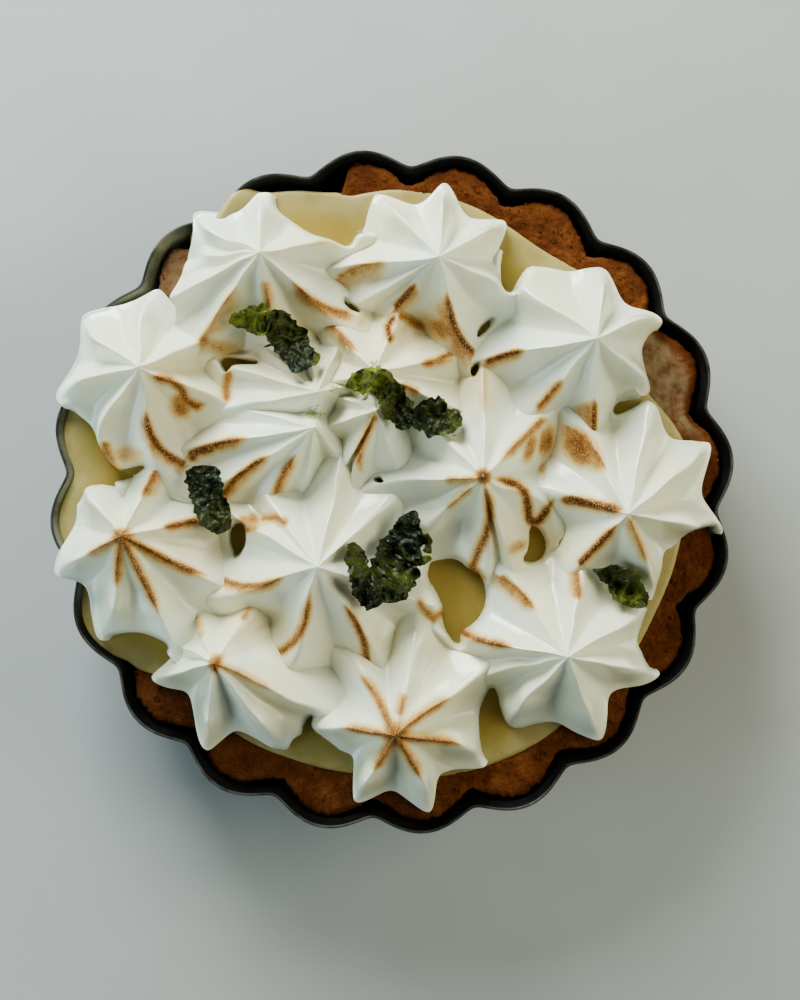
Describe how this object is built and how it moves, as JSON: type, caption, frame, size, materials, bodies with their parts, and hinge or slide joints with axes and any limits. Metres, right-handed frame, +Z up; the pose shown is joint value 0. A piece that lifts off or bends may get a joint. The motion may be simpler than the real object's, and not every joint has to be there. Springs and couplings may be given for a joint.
{
  "type": "lemon meringue pie in its own fluted tin",
  "caption": "Round shortcrust tart of lemon curd under piped, toasted meringue stars with crumpled mint leaves, in its own black fluted tin.",
  "frame": {"origin": "middle of the tin's flat underside, on the surface it stands on", "axes": "+Z up out of the pie; +X and +Y across it, with the curd running over the pastry on the -X side"},
  "size_m": [0.1192, 0.1192, 0.0345],
  "materials": {
    "tin_black": "near-black dark-coated steel, satin, with a worn grey rolled rim",
    "shortcrust": "baked shortcrust, golden orange-brown, crumbly and matt",
    "lemon_curd": "pale lemon curd, smooth and softly glossy",
    "meringue": "smooth glossy white meringue with toasted brown ridges",
    "mint": "dark green crumpled leaf frosted with fine sugar"
  },
  "bodies": {
    "root": {"tin": "tin_black", "crust": "shortcrust", "curd": "lemon_curd", "meringue_star_01": "meringue", "meringue_star_02": "meringue", "meringue_star_03": "meringue", "meringue_star_04": "meringue", "meringue_star_05": "meringue", "meringue_star_06": "meringue", "meringue_star_07": "meringue", "meringue_star_08": "meringue", "meringue_star_09": "meringue", "meringue_star_10": "meringue", "meringue_star_11": "meringue", "meringue_star_12": "meringue", "meringue_star_13": "meringue", "meringue_star_14": "meringue", "meringue_star_15": "meringue", "mint_leaf_1": "mint", "mint_leaf_2": "mint", "mint_leaf_3": "mint", "mint_leaf_4": "mint", "mint_leaf_5": "mint", "mint_leaf_6": "mint"}
  },
  "joints": []
}
